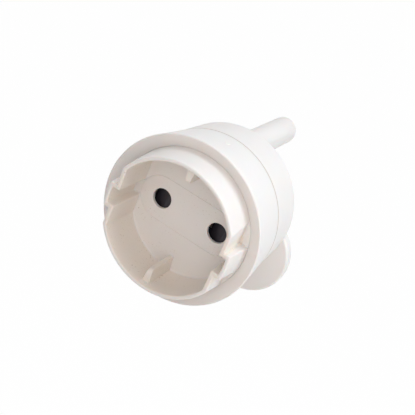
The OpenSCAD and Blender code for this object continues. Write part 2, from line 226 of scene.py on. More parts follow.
def grid_quads(rows: int, columns: int, wrap_rows: bool, wrap_columns: bool) -> np.ndarray:
    """Quads between the neighbours of a grid of points.

    Args:
        rows: Number of rows of points.
        columns: Number of points in a row.
        wrap_rows: Whether the last row joins the first.
        wrap_columns: Whether the last column joins the first.

    Returns:
        Four point numbers for each quad.
    """
    number = np.arange(rows * columns).reshape(rows, columns)
    if wrap_rows:
        number = np.vstack([number, number[:1]])
    if wrap_columns:
        number = np.hstack([number, number[:, :1]])
    corners = (number[:-1, :-1], number[:-1, 1:], number[1:, 1:], number[1:, :-1])
    return np.stack(corners, axis=-1).reshape(-1, 4)


def on_side(at: tuple[float, float], side: int) -> tuple[float, float]:
    """Place in x and z as given for a side of 1, and mirrored in x for a side of -1."""
    return side * at[0], at[1]


def arc_points(
    centre: Sequence[float], size: float, start: float, stop: float, steps: int
) -> np.ndarray:
    """Points along an arc without its last: the centre plus size times cosine and sine.

    Args:
        centre: Centre of the arc.
        size: Its radius.
        start: Angle at which it starts.
        stop: Angle at which it ends.
        steps: Number of points.

    Returns:
        Two coordinates for each point.
    """
    turn = np.linspace(start, stop, steps, endpoint=False)
    return np.column_stack([centre[0] + size * np.cos(turn), centre[1] + size * np.sin(turn)])


def run_points(start: Sequence[float], stop: Sequence[float], steps: int) -> np.ndarray:
    """Points along a straight run without its last, in even steps.

    Args:
        start: First point.
        stop: End of the run.
        steps: Number of points.

    Returns:
        Two coordinates for each point.
    """
    share = np.linspace(0, 1, steps, endpoint=False)[:, None]
    return np.asarray(start) * (1 - share) + np.asarray(stop) * share


def outline(corners: Sequence[tuple[float, float, float]], closed: bool = False) -> np.ndarray:
    """Polyline through corners that are each rounded by an arc.

    The arc's centre lies on the corner's bisector, at radius / sin(half the angle), and its spokes
    turn evenly from one tangent point to the other. Straight runs get extra points.

    Args:
        corners: Two coordinates and a rounding radius for each corner.
        closed: Whether the last corner joins the first.

    Returns:
        The points of the outline, two coordinates each.
    """
    table = np.asarray(corners, float)
    at, radius = table[:, :2], table[:, 2:]
    back = np.roll(at, 1, axis=0) - at
    ahead = np.roll(at, -1, axis=0) - at
    back /= np.linalg.norm(back, axis=1, keepdims=True)
    ahead /= np.linalg.norm(ahead, axis=1, keepdims=True)
    half = np.arccos(np.clip((back * ahead).sum(axis=1, keepdims=True), -1, 1)) / 2
    bisector = back + ahead
    bisector /= np.maximum(np.linalg.norm(bisector, axis=1, keepdims=True), NO_LENGTH)
    centre = at + bisector * radius / np.sin(half)
    first = at + back * radius / np.tan(half) - centre
    last = at + ahead * radius / np.tan(half) - centre
    sweep = math.pi - 2 * half[:, None, :]
    share = np.linspace(0, 1, ARC_STEPS + 1)[None, :, None]
    spokes = np.sin((1 - share) * sweep) * first[:, None] + np.sin(share * sweep) * last[:, None]
    line = (centre[:, None] + spokes / np.sin(sweep)).reshape(-1, 2)
    if closed:
        line = np.vstack([line, line[:1]])
    moved = np.linalg.norm(np.diff(line, axis=0), axis=1) > SAME_POINT
    line = line[np.concatenate([[True], moved])]
    run = np.linalg.norm(np.diff(line, axis=0), axis=1)
    length = np.concatenate([[0.0], np.cumsum(run)])
    long_run = run > 4 * SUPPORT
    supports = np.concatenate([length[:-1][long_run] + SUPPORT, length[1:][long_run] - SUPPORT])
    even = np.linspace(0, length[-1], int(length[-1] / RUN_STEP) + 2)
    near = np.abs(even[:, None] - length[None]).min(axis=1) > 2 * SUPPORT
    places = np.unique(np.concatenate([length, supports, even[near]]))
    dense = np.column_stack([np.interp(places, length, line[:, axis]) for axis in (0, 1)])
    return dense[:-1] if closed else dense


def lathe(
    profile: np.ndarray,
    centre: tuple[float, float] = (0, 0),
    closed: bool = False,
    steps: int = WIDE_TURN,
) -> Patch:
    """Profile of radius and depth turned about an axis along y.

    A point is x = centre + radius * cos(angle), y = -depth, z = centre + radius * sin(angle).

    Args:
        profile: Radius and depth of each point.
        centre: Place of the axis in x and z.
        closed: Whether the profile is a closed ring, else it starts and ends on the axis.
        steps: Number of steps around.

    Returns:
        The turned surface.
    """
    angle = np.linspace(0, 2 * math.pi, steps, endpoint=False)
    radius, depth = profile[:, :1], profile[:, 1:]
    x = centre[0] + radius * np.cos(angle)
    z = centre[1] + radius * np.sin(angle)
    points = np.stack(np.broadcast_arrays(x, -depth, z), axis=-1)
    return Patch(points.reshape(-1, 3), grid_quads(len(profile), steps, closed, True))


def loft(sections: np.ndarray) -> Patch:
    """Closed sections joined one after the other, the first and last drawn in to their middles.

    Args:
        sections: Points with three coordinates, by section and place in the section.

    Returns:
        The closed surface.
    """
    ends = [np.broadcast_to(s.mean(axis=0), s.shape)[None] for s in (sections[0], sections[-1])]
    rows = np.concatenate([ends[0], sections, ends[1]])
    count, columns = rows.shape[:2]
    return Patch(rows.reshape(-1, 3), grid_quads(count, columns, False, True))


def block(low: Sequence[float], high: Sequence[float], rounding: float) -> Patch:
    """Box with rounded edges: rounded rectangles in x and z, drawn in along an arc at both ends.

    Args:
        low: Lowest x, depth and z.
        high: Highest x, depth and z.
        rounding: Radius of the edges.

    Returns:
        The closed surface.
    """
    inset = rounding * (1 - np.sin(QUARTER))
    rise = rounding * (1 - np.cos(QUARTER))
    insets = np.concatenate([inset, inset[::-1]])
    depths = np.concatenate([low[1] + rise, high[1] - rise[::-1]])
    corners = [(low[0], low[2]), (high[0], low[2]), (high[0], high[2]), (low[0], high[2])]
    flat = outline([(x, z, rounding) for x, z in corners], closed=True)
    middle = flat.mean(axis=0)
    reach = (np.array([high[0] - low[0], high[2] - low[2]]) / 2)[None, None]
    shrunk = middle + (flat - middle)[None] * (1 - insets[:, None, None] / reach)
    y = np.broadcast_to(-depths[:, None], shrunk.shape[:2])
    return loft(np.stack([shrunk[..., 0], y, shrunk[..., 1]], axis=-1))


def new_piece(name: str, patch: Patch) -> bpy.types.Object:
    """Makes a mesh object of a surface, with doubles merged and faces turned outwards.

    Args:
        name: Name of the piece.
        patch: The surface in millimetres.

    Returns:
        The object, at the origin, linked to the scene.
    """
    mesh = bpy.data.meshes.new(name)
    count, quads = len(patch.points), len(patch.quads)
    mesh.vertices.add(count)
    mesh.vertices.foreach_set("co", (patch.points * MM).ravel())
    mesh.loops.add(quads * 4)
    mesh.loops.foreach_set("vertex_index", patch.quads.ravel())
    mesh.polygons.add(quads)
    mesh.polygons.foreach_set("loop_start", np.arange(quads) * 4)
    mesh.update(calc_edges=True)
    mesh.validate()
    work = bmesh.new()
    work.from_mesh(mesh)
    bmesh.ops.remove_doubles(work, verts=work.verts, dist=MESH_POINT)
    bmesh.ops.dissolve_degenerate(work, edges=work.edges, dist=NO_LENGTH)
    bmesh.ops.recalc_face_normals(work, faces=work.faces)
    work.to_mesh(mesh)
    work.free()
    piece = bpy.data.objects.new(name, mesh)
    bpy.context.scene.collection.objects.link(piece)
    return piece


def merge(piece: bpy.types.Object, patch: Patch, way: Merge) -> None:
    """Adds a closed surface to a piece, or cuts it away.

    Args:
        piece: The piece that changes.
        patch: The closed surface.
        way: Whether it is added or cut away.
    """
    other = new_piece("merged_surface", patch)
    step = piece.modifiers.new("merge", "BOOLEAN")
    step.operation = way.value
    step.solver = "EXACT"
    step.object = other
    merged = piece.evaluated_get(bpy.context.evaluated_depsgraph_get())
    result = bpy.data.meshes.new_from_object(merged)
    piece.modifiers.clear()
    old = piece.data
    piece.data = result
    result.name = piece.name
    for mesh in (old, other.data):
        bpy.data.meshes.remove(mesh)


def smooth(piece: bpy.types.Object) -> None:
    """Shades a piece smooth, with crisp edges where faces meet at a strong angle."""
    piece.data.shade_smooth()
    piece.data.set_sharp_from_angle(angle=CRISP_ANGLE)


def dress(piece: bpy.types.Object, material: bpy.types.Material) -> None:
    """Gives a piece one material and drops those that it had."""
    piece.data.materials.clear()
    piece.data.materials.append(material)


def install(
    piece: bpy.types.Object, node: str, material: bpy.types.Material
) -> None:
    """Finishes a new piece, puts it on the housing and lets it stand for a solid.

    Args:
        piece: The new piece.
        node: Name of the solid that it stands for.
        material: Its finish.
    """
    smooth(piece)
    dress(piece, material)
    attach(piece, BODY)
    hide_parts(node)
    LOG.info("%s: %d faces", piece.name, len(piece.data.polygons))


@dataclass(frozen=True)
class MouldedPlastic:
    """Injection-moulded plastic: an even colour, a soft gloss and a faint grain from the mould.

    The real grain is too fine to show in the render, so it is drawn as coarse as it needs to show.
    """

    name: str
    colour: str
    mottle: str
    roughness: tuple[float, float]
    grain_mm: float
    grain_height_mm: float
    mottle_mm: float = 9.0
    sheen_mm: float = 3.0
    ior: float = 1.5
    # Share of the light that goes through the plastic, and how far red, green and blue go
    milky: float = 0.0
    milky_mm: tuple[float, float, float] = (0.7, 0.4, 0.28)
    # Painted shade of the slit at the seam: a darker colour on both sides of the seam's depth
    seam_shade: str = "#c9bdb3"
    seam_shade_depth: float = 15.95
    seam_shade_half: float = 0.0
    # Specks of dirt, and the levels of a fine and a slow noise where they start and are full
    speck: str = "#a8957f"
    speck_mm: float = 0.0
    speck_share: float = 0.55
    speck_levels: tuple[float, float] = (0.64, 0.72)
    soiled_levels: tuple[float, float] = (0.42, 0.6)
    # Where the recess, its floor and its walls start, and the warmer, darker colour on the walls:
    # painted shade of the recess
    recess_r: float = 18.9
    recess_floor: float = 25.2
    recess_walls: float = 25.8
    painted_wall_shade: str = "#ebe2d8"

    def in_recess(
        self, tree: bpy.types.NodeTree, place: bpy.types.NodeSocket, start: float
    ) -> bpy.types.NodeSocket:
        """Marks the points in front of a depth and nearer to the axis than the recess' wall.

        Args:
            tree: The node tree of the material.
            place: Object coordinates.
            start: The depth, in millimetres from the plug face.

        Returns:
            1 in the recess, else 0.
        """
        y = add_node(tree, "ShaderNodeSeparateXYZ", None, {0: place}).outputs["Y"]
        flat = add_node(tree, "ShaderNodeVectorMath", {"operation": "MULTIPLY", 1: (1, 0, 1)},
                        {0: place}).outputs["Vector"]
        radius = add_node(tree, "ShaderNodeVectorMath", {"operation": "LENGTH"},
                          {0: flat}).outputs["Value"]
        near, front = (
            add_node(tree, "ShaderNodeMath", {"operation": "LESS_THAN", 1: limit * MM},
                     {0: value}).outputs[0]
            for value, limit in ((radius, self.recess_r), (y, -start))
        )
        both = add_node(tree, "ShaderNodeMath", {"operation": "MULTIPLY"}, {0: near, 1: front})
        return both.outputs[0]

    def recess_specks(
        self, tree: bpy.types.NodeTree, place: bpy.types.NodeSocket
    ) -> bpy.types.NodeSocket:
        """Share of dirt in the recess: the peaks of a fine noise where a slow one is high.

        Args:
            tree: The node tree of the material.
            place: Object coordinates.

        Returns:
            The share, from 0 to 1, and 0 outside the recess.
        """
        share = self.in_recess(tree, place, self.recess_floor)
        for size_mm, (start, full) in (
            (self.speck_mm, self.speck_levels), (self.mottle_mm, self.soiled_levels)
        ):
            noise = add_node(tree, "ShaderNodeTexNoise",
                             {"Scale": 1 / (size_mm * MM), "Detail": PLAIN}, {"Vector": place})
            peaks = add_node(tree, "ShaderNodeMapRange", {"From Min": start, "From Max": full},
                             {"Value": noise.outputs["Fac"]})
            share = add_node(tree, "ShaderNodeMath", {"operation": "MULTIPLY"},
                             {0: share, 1: peaks.outputs["Result"]}).outputs[0]
        faint = add_node(tree, "ShaderNodeMath", {"operation": "MULTIPLY", 1: self.speck_share},
                         {0: share})
        return faint.outputs[0]

    def painted_seam_shade(
        self, tree: bpy.types.NodeTree, place: bpy.types.NodeSocket
    ) -> bpy.types.NodeSocket:
        """Share of painted seam shade at a point: full at the seam's depth, gone at a small
        distance from it.

        Args:
            tree: The node tree of the material.
            place: Object coordinates.

        Returns:
            The share, from 0 to 1.
        """
        y = add_node(tree, "ShaderNodeSeparateXYZ", None, {0: place}).outputs["Y"]
        off = add_node(tree, "ShaderNodeMath", {"operation": "ADD", 1: self.seam_shade_depth * MM},
                       {0: y})
        away = add_node(tree, "ShaderNodeMath", {"operation": "ABSOLUTE"}, {0: off.outputs[0]})
        half = self.seam_shade_half * MM
        share = add_node(tree, "ShaderNodeMapRange",
                         {"From Min": half / 2, "From Max": half, "To Min": 1.0, "To Max": 0.0},
                         {"Value": away.outputs[0]})
        return share.outputs["Result"]

    def material(self) -> bpy.types.Material:
        """Builds the finish: slow mottling, patches of gloss and a fine bump, all from noise, with
        painted shade along the seam and on the recess walls, and dirt specks in the recess.

        The milky share of the light goes a little way through the plastic, red the farthest.

        Returns:
            The material.
        """
        made, tree, shader = new_material(self.name)
        shader.inputs["IOR"].default_value = self.ior
        shader.inputs["Subsurface Weight"].default_value = self.milky
        shader.inputs["Subsurface Radius"].default_value = self.milky_mm
        shader.inputs["Subsurface Scale"].default_value = MM
        place = add_node(tree, "ShaderNodeTexCoord").outputs["Object"]
        slow, patches, grain = (
            add_node(tree, "ShaderNodeTexNoise", {"Scale": 1 / (size_mm * MM), "Detail": octaves},
                     {"Vector": place}).outputs["Fac"]
            for size_mm, octaves in (
                (self.mottle_mm, MOTTLED), (self.sheen_mm, CLOUDY), (self.grain_mm, PLAIN)
            )
        )
        tint = add_node(tree, "ShaderNodeMix",
                        {"data_type": "RGBA", "A": linear(self.colour), "B": linear(self.mottle)},
                        {"Factor": slow})
        layers: list[tuple[str, bpy.types.NodeSocket]] = []
        if self.seam_shade_half > 0:
            # Painted shade along the seam's slit
            layers.append((self.seam_shade, self.painted_seam_shade(tree, place)))
        if self.speck_mm > 0:
            # Painted warm shade on the recess walls, then dirt specks on the floor
            layers.append((self.painted_wall_shade, self.in_recess(tree, place, self.recess_walls)))
            layers.append((self.speck, self.recess_specks(tree, place)))
        for colour, share in layers:
            tint = add_node(tree, "ShaderNodeMix", {"data_type": "RGBA", "B": linear(colour)},
                            {"Factor": share, "A": tint.outputs["Result"]})
        tree.links.new(tint.outputs["Result"], shader.inputs["Base Color"])
        add_surface(tree, patches, self.roughness, grain, self.grain_height_mm)
        return made


@dataclass(frozen=True)
class WorkedMetal:
    """Drawn, turned or plated metal: a coloured mirror with fine lines from how it was worked.

    The real lines are too fine to show in the render, so they are drawn coarser.
    """

    name: str
    colour: str
    tarnish: str
    roughness: tuple[float, float]
    line_mm: tuple[float, float, float]
    line_height_mm: float
    tarnish_mm: float = 5.0

    def material(self) -> bpy.types.Material:
        """Builds the finish: stretched noise for the lines, slow noise for the tarnish.

        Returns:
            The material.
        """
        made, tree, shader = new_material(self.name)
        shader.inputs["Metallic"].default_value = 1.0
        place = add_node(tree, "ShaderNodeTexCoord").outputs["Object"]
        stretch = add_node(tree, "ShaderNodeMapping",
                           {"Scale": [1 / (s * MM) for s in self.line_mm]}, {"Vector": place})
        lines = add_node(tree, "ShaderNodeTexNoise", {"Scale": 1.0, "Detail": MOTTLED},
                         {"Vector": stretch.outputs["Vector"]}).outputs["Fac"]
        slow = add_node(tree, "ShaderNodeTexNoise",
                        {"Scale": 1 / (self.tarnish_mm * MM), "Detail": CLOUDY}, {"Vector": place})
        tint = add_node(tree, "ShaderNodeMix",
                        {"data_type": "RGBA", "A": linear(self.colour), "B": linear(self.tarnish)},
                        {"Factor": slow.outputs["Fac"]})
        tree.links.new(tint.outputs["Result"], shader.inputs["Base Color"])
        add_surface(tree, lines, self.roughness, lines, self.line_height_mm)
        return made


# Warm white moulding compound: bright where it faces the light, tan where it only sees itself
WHITE_ABS = MouldedPlastic(
    "white_abs_satin", "#ebe6e2", "#e9e3de", (0.36, 0.46), 0.7, 0.006,
    milky=0.4, seam_shade_half=0.4, speck_mm=0.5,
)
# Plain insulating plate, a little greyer and duller than the outside
INSULATOR = MouldedPlastic("insulator_plate", "#d9d4cb", "#cfc9be", (0.5, 0.6), 0.9, 0.01)
# Matt black slider: nearly no gloss, so that the entry holes read as dark
BLACK_NYLON = MouldedPlastic("black_nylon_matt", "#211e25", "#28252d", (0.5, 0.65), 0.5, 0.012)
# Nickel on turned brass: pale, slightly warm, faint lines along the pin from being pushed in
NICKEL = WorkedMetal(
    "nickel_plated_brass", "#cfcac0", "#bdb6a8", (0.16, 0.3), (0.25, 6.0, 0.25), 0.002
)
# Bare spring bronze, rolled: a warm yellow brown with a soft shine along the strip
BRONZE = WorkedMetal(
    "rolled_spring_bronze", "#c99a55", "#b5854a", (0.28, 0.42), (0.2, 4.0, 0.2), 0.002
)
# Zinc plate: a cool grey, duller than nickel
ZINC = WorkedMetal(
    "zinc_plated_steel", "#b4b7ba", "#9fa2a4", (0.28, 0.42), (0.4, 0.4, 0.4), 0.002
)


@dataclass
class FrontHousing:
    """Outer ring with the dished flange around the socket's collar."""

    hole_r: float = 20.74
    foot: float = 29.8
    flange_t: float = 2.2
    lip_r: float = 24.6
    lip_w: float = 0.5
    lip_depth: float = 31.9
    seam_r: float = 23.1
    seam: float = 15.95
    bore_seam_r: float = 21.7
    bore_top_r: float = 22.8
    edge: float = 0.2
    hole_edge: float = 0.1
    lip_round: float = 0.4
    seam_bevel: float = 0.15
    gate_x: float = 1.0
    gate_depth: float = 22.8
    gate_r: float = 0.7
    gate_proud: float = 0.14
    gate_sunk: float = 0.6

    def profile(self) -> np.ndarray:
        """Closed half section: hole, flange, lip, tapered wall, seam and bore.

        Returns:
            Radius and depth of each point.
        """
        back = self.foot - self.flange_t
        return outline([
            (self.hole_r, back, self.edge),
            (self.hole_r, self.foot, self.hole_edge),
            (self.lip_r - self.lip_w, self.lip_depth, self.lip_round),
            (self.lip_r, self.lip_depth, self.lip_round),
            (self.seam_r, self.seam + self.seam_bevel, self.edge / 2),
            (self.seam_r - self.seam_bevel, self.seam, self.edge / 4),
            (self.bore_seam_r, self.seam, self.edge),
            (self.bore_top_r, back, self.edge),
        ], closed=True)

    def gate_mark(self) -> Patch:
        """Low button on top of the wall: a short turned shape with its axis along z.

        A point is x = gate + radius * cos(angle), z = height, y = -depth - radius * sin(angle).

        Returns:
            The closed surface.
        """
        share = (self.gate_depth - self.seam) / (self.lip_depth - self.seam)
        wall_r = self.seam_r + (self.lip_r - self.seam_r) * share
        low, top = wall_r - self.gate_sunk, wall_r + self.gate_proud
        flat = outline([(0, low, 0), (self.gate_r, low, 0),
                        (self.gate_r, top, self.gate_proud / 2), (0, top, 0)])
        turned = lathe(flat, steps=SMALL_TURN)
        x, height, z = turned.points.T
        return Patch(np.column_stack([x + self.gate_x, z - self.gate_depth, -height]), turned.quads)

    def build(self, material: bpy.types.Material) -> None:
        """Turns the ring, adds the gate mark and installs the piece.

        Args:
            material: Its finish.
        """
        piece = new_piece("front_housing_shell", lathe(self.profile(), closed=True))
        merge(piece, self.gate_mark(), Merge.ADD)
        install(piece, "front_housing", material)


@dataclass
class SocketInsert:
    """Collar with keyed sides, recess with two ribs, and the floor with its entry holes."""

    rim: float = 39.3
    rim_r: float = 19.8
    root_r: float = 20.7
    foot: float = 29.8
    flange_back: float = 27.6
    retainer_r: float = 22.5
    retainer_t: float = 2.0
    rim_round: float = 0.4
    recess_r: float = 18.7
    floor: float = 25.5
    floor_back: float = 24.5
    floor_round: float = 0.35
    flat_x: float = 17.65
    tab_half: float = 3.85
    key_wall: float = 1.3
    key_round: float = 0.35
    field_end: float = 10.0
    field_half: float = 6.8
    groove_w: float = 0.3
    groove_depth: float = 0.15
    hole_x: float = 9.5
    hole_r: float = 3.0
    hole_edge: float = 0.15
    rib_edge_r: float = 14.3
    rib_edge_w: float = 1.3
    rib_edge_round: float = 0.3
    rib_wall_w: float = 2.4
    rib_setback: float = 2.1
    rib_round: float = 1.2
    rib_foot: float = 0.2
    rib_root: float = 0.3
    post_at: tuple[float, float] = (10.67, 12.716)
    post_r: float = 2.7
    post_bore_r: float = 1.51
    post_end: float = 6.0
    post_bore_end: float = 16.0
    post_edge: float = 0.15
    post_bore_edge: float = 0.1
    # Lowest and highest x, then lowest and highest z, of the rails that guide the shutter
    rails: tuple[tuple[float, float, float, float], ...] = (
        (-13.0, 13.6, -5.5, -4.3),
        (-4.8, 13.6, 4.3, 5.5),
        (1.6, 3.0, 4.3, 8.9),
    )
    rail_end: float = 19.0
    rail_round: float = 0.12
    # Steps of a quarter section along the tab's end, the tab's side, the flat and the long arc
    section_steps: tuple[int, int, int, int] = (6, 4, 10, 40)
    # Radius of a ring of points on the floor's back, and rows of points up the walls and a rib
    back_ring_r: float = 10.0
    collar_rows: int = 9
    recess_rows: int = 10
    rib_rows: int = 8
    # Depth of a rib's section before it is fitted between its edge and the wall
    rib_unit: float = 8.0

    def section(self, radius: float, flat: float, tab: float) -> np.ndarray:
        """Section of the collar: a circle with two flats and a tab between them on each side.

        In one quarter it is an arc, a rounded tab corner, the tab's side, a rounded inner corner,
        the flat, a rounded outer corner and the long arc; the other quarters mirror it.

        Args:
            radius: Radius of the circle.
            flat: Distance of the flats from the axis.
            tab: Half width of the tab.

        Returns:
            Points in x and z, the same number for every size.
        """
        r = self.key_round
        end_steps, side_steps, flat_steps, arc_steps = self.section_steps
        tab_centre = np.array([math.sqrt((radius - r) ** 2 - (tab - r) ** 2), tab - r])
        end_centre = np.array([flat - r, math.sqrt((radius - r) ** 2 - (flat - r) ** 2)])
        tab_turn = math.atan2(tab_centre[1], tab_centre[0])
        end_turn = math.atan2(end_centre[1], end_centre[0])
        quarter = np.concatenate([
            arc_points((0, 0), radius, 0, tab_turn, end_steps),
            arc_points(tab_centre, r, tab_turn, math.pi / 2, ARC_STEPS),
            run_points((tab_centre[0], tab), (flat + r, tab), side_steps),
            arc_points((flat + r, tab + r), r, 1.5 * math.pi, math.pi, ARC_STEPS),
            run_points((flat, tab + r), (flat, end_centre[1]), flat_steps),
            arc_points(end_centre, r, 0, end_turn, ARC_STEPS),
            arc_points((0, 0), radius, end_turn, math.pi / 2, arc_steps),
            [(0, radius)],
        ])
        left = (quarter * [-1, 1])[::-1][1:]
        upper = np.concatenate([quarter, left])
        lower = (upper * [1, -1])[::-1][1:-1]
        return np.concatenate([upper, lower])

    def outside(self, depth: float, inset: float = 0.0) -> tuple[np.ndarray, float]:
        """Keyed section of the outside, which narrows evenly from the foot to the rim.

        Args:
            depth: Its depth.
            inset: How far it is drawn in.

        Returns:
            The section and its depth.
        """
        lean = (self.root_r - self.rim_r) / (self.rim - self.foot)
        radius = self.root_r - lean * max(depth - self.foot, 0) - inset
        return self.section(radius, self.flat_x - inset, self.tab_half - inset), depth

    def inside(self, depth: float, inset: float = 0.0) -> tuple[np.ndarray, float]:
        """Keyed section of the recess, whose walls are straight.

        Args:
            depth: Its depth.
            inset: How far it is drawn in.

        Returns:
            The section and its depth.
        """
        flat, tab = self.flat_x - self.key_wall - inset, self.tab_half - self.key_wall - inset
        return self.section(self.recess_r - inset, flat, tab), depth

    def field_edge(self, half: float, turn: np.ndarray) -> np.ndarray:
        """Edge of the long field with round ends, where rays from the axis meet it.

        A ray meets the straight side at half / sin(turn), or else the end's circle.

        Args:
            half: Half width of the field.
            turn: Angles of the rays.

        Returns:
            Points in x and z.
        """
        rise = np.abs(np.sin(turn))
        across = np.abs(np.cos(turn))
        side = half / np.maximum(rise, SAME_POINT)
        root = np.sqrt(np.maximum(half ** 2 - (self.field_end * rise) ** 2, 0))
        reach = np.where(side * across <= self.field_end, side, self.field_end * across + root)
        return np.column_stack([reach * np.cos(turn), reach * np.sin(turn)])

    def shell(self) -> Patch:
        """Whole collar as one closed grid: outside, over the rim, inside, then the floor.

        Each row is one closed section at one depth; rows run from the middle of the floor's back
        round the outside and the rim to the middle of the floor's front.

        Returns:
            The closed surface.
        """
        ease, lift = 1 - np.cos(QUARTER), np.sin(QUARTER)
        base, _ = self.outside(self.foot)
        rays = np.arctan2(base[:, 1], base[:, 0])
        circle = np.column_stack([np.cos(rays), np.sin(rays)])
        retainer_back = self.flange_back - self.retainer_t
        rows: list[tuple[np.ndarray, float]] = [(circle * radius, depth) for radius, depth in (
            (0.0, self.floor_back), (self.back_ring_r, self.floor_back),
            (self.root_r, self.floor_back), (self.root_r, retainer_back),
            (self.retainer_r, retainer_back), (self.retainer_r, self.flange_back),
            (self.root_r, self.flange_back), (self.root_r, self.foot - SUPPORT),
            (self.root_r, self.foot),
        )]
        start = self.rim - self.rim_round
        collar = np.linspace(self.foot, start, self.collar_rows)[1:]
        rows += [self.outside(depth) for depth in (self.foot, self.foot + SUPPORT, *collar)]
        over = list(zip(start + self.rim_round * lift, self.rim_round * ease))
        rows += [self.outside(depth, inset) for depth, inset in over]
        rows += [self.inside(depth, -inset) for depth, inset in over[::-1]]
        low = self.floor + self.floor_round
        rows += [self.inside(depth) for depth in np.linspace(start, low, self.recess_rows)[1:]]
        under = zip(low - self.floor_round * lift[1:], self.floor_round * ease[1:])
        rows += [self.inside(depth, inset) for depth, inset in under]
        inner, _ = self.inside(self.floor)
        rays = np.arctan2(inner[:, 1], inner[:, 0])
        bottom = self.floor - self.groove_depth
        slope = self.groove_w / 4
        wide, narrow = self.field_half, self.field_half - self.groove_w
        rows += [(self.field_edge(half, rays), depth) for half, depth in (
            (wide + SUPPORT, self.floor), (wide, self.floor), (wide - slope, bottom),
            (narrow + slope, bottom), (narrow, self.floor), (narrow - SUPPORT, self.floor),
        )]
        edge = self.field_edge(narrow - SUPPORT, rays)
        rows += [(edge * share, self.floor) for share in (0.75, 0.5, 0.25, 0.0)]
        flat = np.array([row for row, _ in rows])
        depth = np.broadcast_to(np.array([[d] for _, d in rows]), flat.shape[:2])
        points = np.stack([flat[..., 0], -depth, flat[..., 1]], axis=-1)
        return Patch(points.reshape(-1, 3), grid_quads(*flat.shape[:2], False, True))

    def rib(self, side: int) -> Patch:
        """Rib from the floor towards the rim, thicker at the wall, its front corner rounded.

        Each section is a trapezoid with a rounded free edge, whose width goes evenly from the edge
        to the wall. The edge backs away near the front as a circle of the corner's radius does.

        Args:
            side: 1 for the rib above the axis, -1 for the one below.

        Returns:
            The closed surface.
        """
        unit_end, edge_round = self.rib_unit, self.rib_edge_round
        unit = outline([(-1, 0, edge_round), (1, 0, edge_round), (1, unit_end, 0),
                        (-1, unit_end, 0)], closed=True)
        length = self.rim - self.floor - self.rib_setback
        turn = np.linspace(0, math.pi / 2, self.rib_rows + 1)[1:]
        straight = np.linspace(self.rib_foot, length - self.rib_round, self.rib_rows)
        near = np.concatenate([[-SINK], straight])
        height = np.concatenate([near, length - self.rib_round * (1 - np.sin(turn))])
        edge = np.concatenate([np.zeros_like(near), self.rib_round * (1 - np.cos(turn))])
        wall = self.recess_r + self.rib_root
        reach = (wall - self.rib_edge_r - edge)[:, None]
        out = self.rib_edge_r + edge[:, None] + unit[None, :, 1] / unit_end * reach
        width = np.interp(out, [self.rib_edge_r, wall], [self.rib_edge_w, self.rib_wall_w])
        across = unit[None, :, 0] * width / 2
        y = np.broadcast_to(-(self.floor + height)[:, None], across.shape)
        return loft(np.stack([across, y, side * out], axis=-1))

    def entry_hole(self, side: int) -> Patch:
        """Cutter of one entry hole: a cylinder that flares by an arc at the floor's front.

        Args:
            side: 1 for the hole on the right, -1 for the one on the left.

        Returns:
            The closed surface.
        """
        top, end = self.floor + CLEAR, self.floor_back - CLEAR
        flare = self.hole_r + self.hole_edge
        bend = np.column_stack([flare - self.hole_edge * np.cos(QUARTER)[::-1],
                                self.floor - self.hole_edge * (1 - np.sin(QUARTER)[::-1])])
        profile = np.concatenate([[(0, top), (flare, top)], bend, [(self.hole_r, end), (0, end)]])
        return lathe(profile, (side * self.hole_x, 0), steps=SMALL_TURN)

    def post(self, side: int) -> Patch:
        """Screw post behind the floor: a turned tube with a blind bore.

        Args:
            side: 1 for the post on the right, -1 for the one on the left.

        Returns:
            The closed surface.
        """
        root = self.floor_back + ROOT_SINK
        profile = outline([
            (0, root, 0),
            (self.post_r, root, 0),
            (self.post_r, self.post_end, self.post_edge),
            (self.post_bore_r, self.post_end, self.post_bore_edge),
            (self.post_bore_r, self.post_bore_end, self.post_bore_edge),
            (0, self.post_bore_end, 0),
        ])
        return lathe(profile, on_side(self.post_at, side), steps=SMALL_TURN)

    def build(self, material: bpy.types.Material) -> None:
        """Makes the collar, merges ribs, posts and rails, cuts the holes and installs the piece.

        Args:
            material: Its finish.
        """
        piece = new_piece("socket_insert_shell", self.shell())
        for side in (-1, 1):
            merge(piece, self.rib(side), Merge.ADD)
            merge(piece, self.entry_hole(side), Merge.CUT)
            merge(piece, self.post(side), Merge.ADD)
        root = self.floor_back + ROOT_SINK
        for x0, x1, z0, z1 in self.rails:
            rail = block((x0, self.rail_end, z0), (x1, root, z1), self.rail_round)
            merge(piece, rail, Merge.ADD)
        install(piece, "socket_insert", material)


